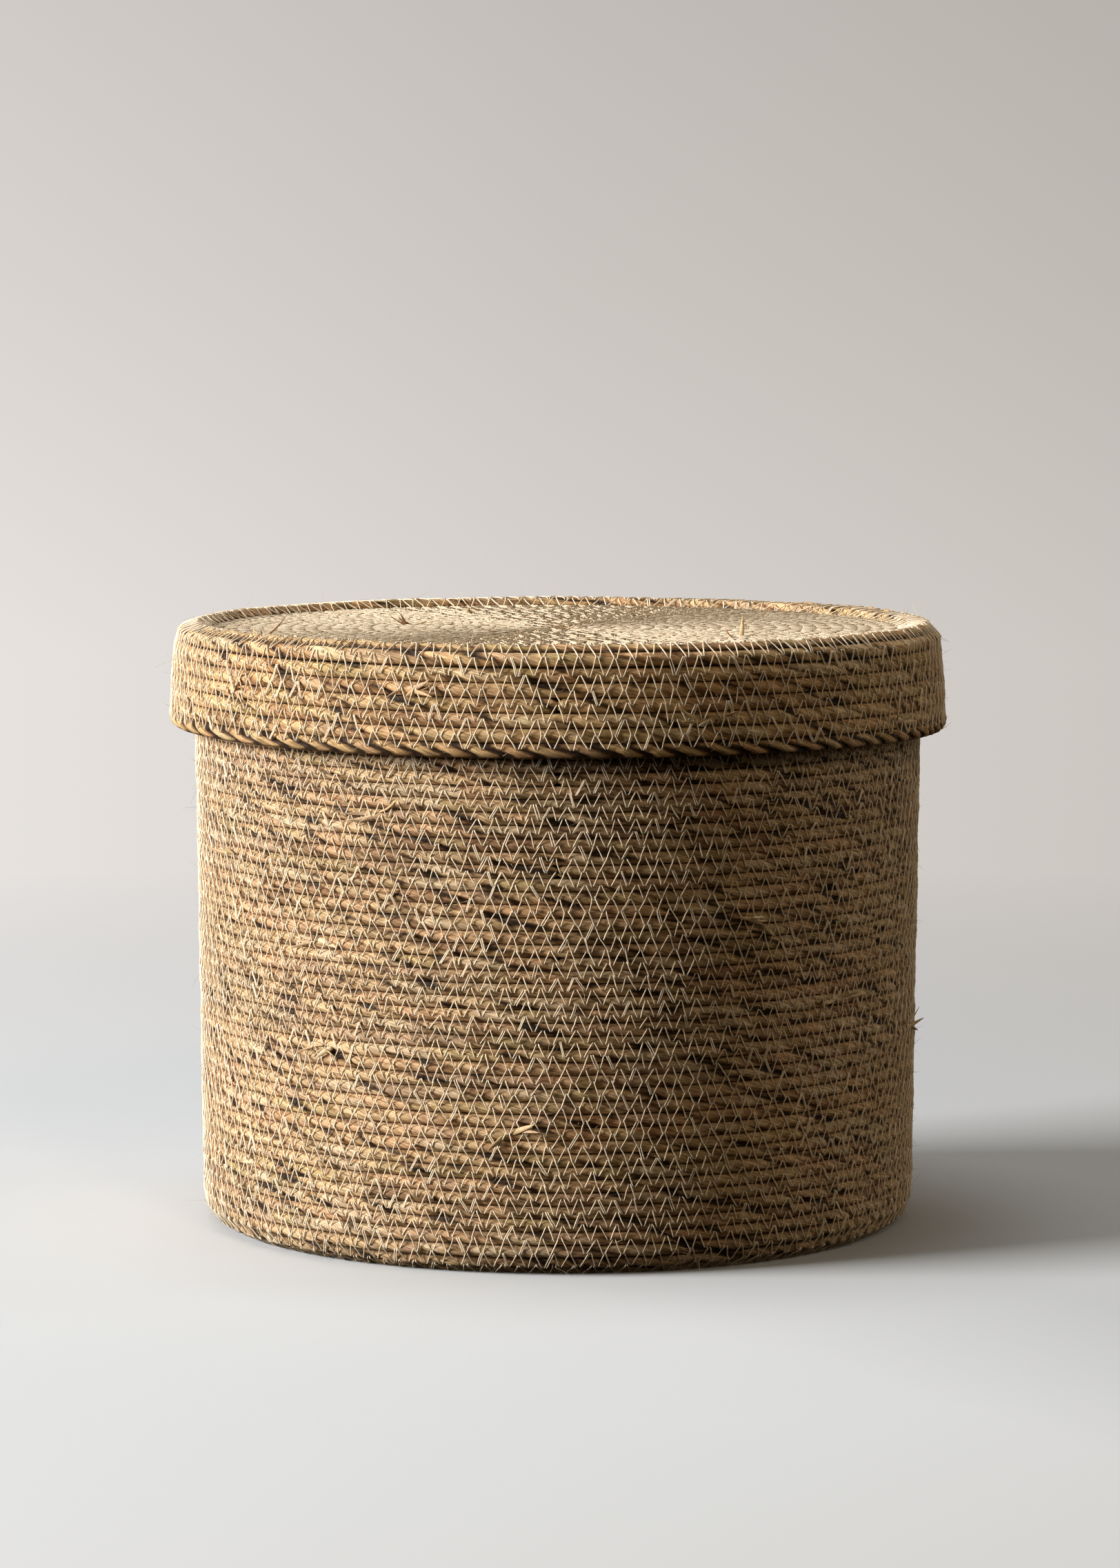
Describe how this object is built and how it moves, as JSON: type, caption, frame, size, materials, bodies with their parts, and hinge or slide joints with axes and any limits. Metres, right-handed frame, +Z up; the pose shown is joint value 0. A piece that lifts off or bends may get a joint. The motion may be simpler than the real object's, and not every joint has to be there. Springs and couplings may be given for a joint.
{
  "type": "lidded basket",
  "caption": "Round storage basket coiled from twisted seagrass cord and zigzag-stitched, with a lift-off lid that has a deep skirt, a raised edge and a twisted rope lip.",
  "frame": {"origin": "middle of the floor's underside, on the plane that the basket rests on", "axes": "+Z up, along the basket's axis; -Y is the front as pictured, +X is to its right"},
  "size_m": [0.3403, 0.3406, 0.265],
  "materials": {
    "basket_cord": "matte",
    "lid_cord": "matte",
    "lip_rope": "matte",
    "thread": "matte"
  },
  "bodies": {
    "basket": {"base_centre_cord": "basket_cord", "base_cord": "basket_cord", "heel_cord": "basket_cord", "wall_cord_1": "basket_cord", "wall_cord_2": "basket_cord", "wall_cord_3": "basket_cord", "wall_cord_4": "basket_cord", "wall_cord_5": "basket_cord", "wall_cord_6": "basket_cord", "rim_cord": "basket_cord", "base_needle_thread": "thread", "base_bobbin_thread": "thread", "wall_needle_thread_1": "thread", "wall_needle_thread_2": "thread", "wall_needle_thread_3": "thread", "wall_bobbin_thread_1": "thread", "wall_bobbin_thread_2": "thread", "wall_bobbin_thread_3": "thread"},
    "lid": {"lid_centre_cord": "lid_cord", "lid_top_cord": "lid_cord", "lid_edge_cord": "lid_cord", "lid_skirt_cord_upper": "lid_cord", "lid_skirt_cord_lower": "lid_cord", "lid_lip_rope": "lip_rope", "lid_top_needle_thread": "thread", "lid_top_bobbin_thread": "thread", "lid_skirt_needle_thread": "thread", "lid_skirt_bobbin_thread": "thread"}
  },
  "joints": [
    {"name": "lid_lift", "type": "slide", "parent": "basket", "child": "lid", "axis": [0, 0, 1], "range_m": [0, 0.1]}
  ]
}
